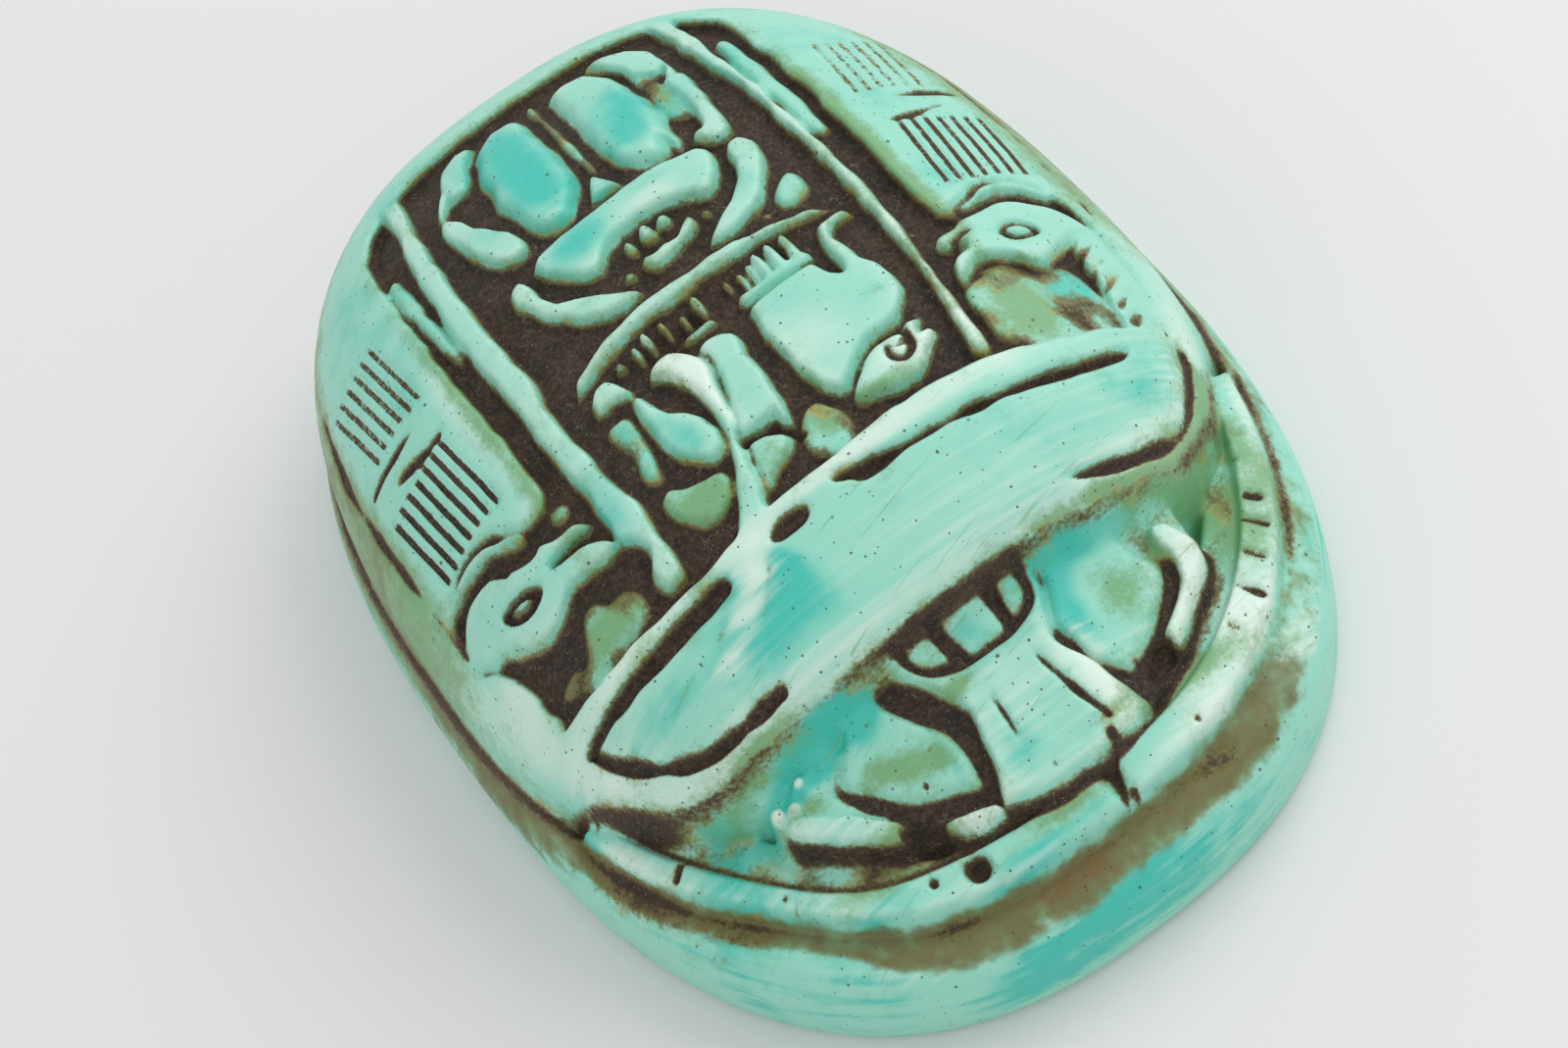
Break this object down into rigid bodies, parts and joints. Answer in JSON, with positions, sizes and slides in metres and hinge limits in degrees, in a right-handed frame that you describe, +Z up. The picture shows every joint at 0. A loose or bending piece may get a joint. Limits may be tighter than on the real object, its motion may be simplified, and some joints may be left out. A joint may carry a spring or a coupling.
{
  "type": "scarab amulet",
  "caption": "Oval scarab amulet with a domed carved back, a fan-shaped head and a flat underside, cast in one piece.",
  "frame": {"origin": "centre of the flat underside", "axes": "+Z up out of the domed back, +Y towards the tail, so the head points to -Y"},
  "size_m": [0.0432, 0.06, 0.0192],
  "materials": {
    "glazed_cast": "turquoise waxed cast stone, pale where worn, dark brown stain in the carving"
  },
  "bodies": {
    "root": {"scarab_amulet": "glazed_cast"}
  },
  "joints": []
}
